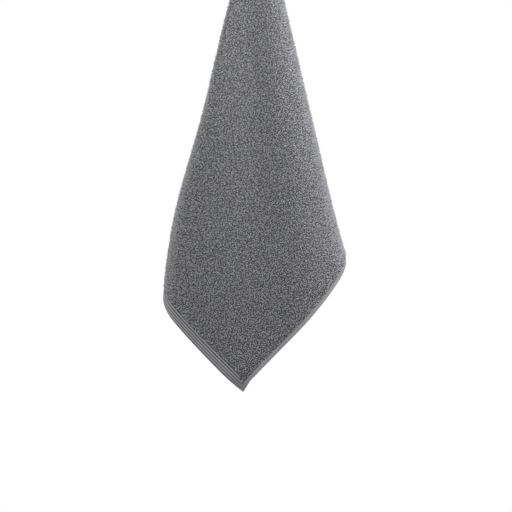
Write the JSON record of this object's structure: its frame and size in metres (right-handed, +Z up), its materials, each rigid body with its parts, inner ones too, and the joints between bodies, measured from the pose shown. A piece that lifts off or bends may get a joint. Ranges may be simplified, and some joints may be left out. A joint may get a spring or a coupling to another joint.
{
  "type": "hanging terry face towel",
  "caption": "Square terry face towel hanging by one corner, its sides folded in behind the front, with a ribbed hem band and plain selvedges.",
  "frame": {"origin": "the corner of the towel that it hangs by", "axes": "+Z up, so the towel hangs down along -Z; the front that the picture shows faces -Y, the wall side is +Y, and +X is to the right as seen from the front"},
  "size_m": [0.1543, 0.0759, 0.4224],
  "materials": {
    "terry_cotton": "looped cotton pile, with flat woven hems and selvedges"
  },
  "bodies": {
    "root": {"towel": "terry_cotton"}
  },
  "joints": []
}
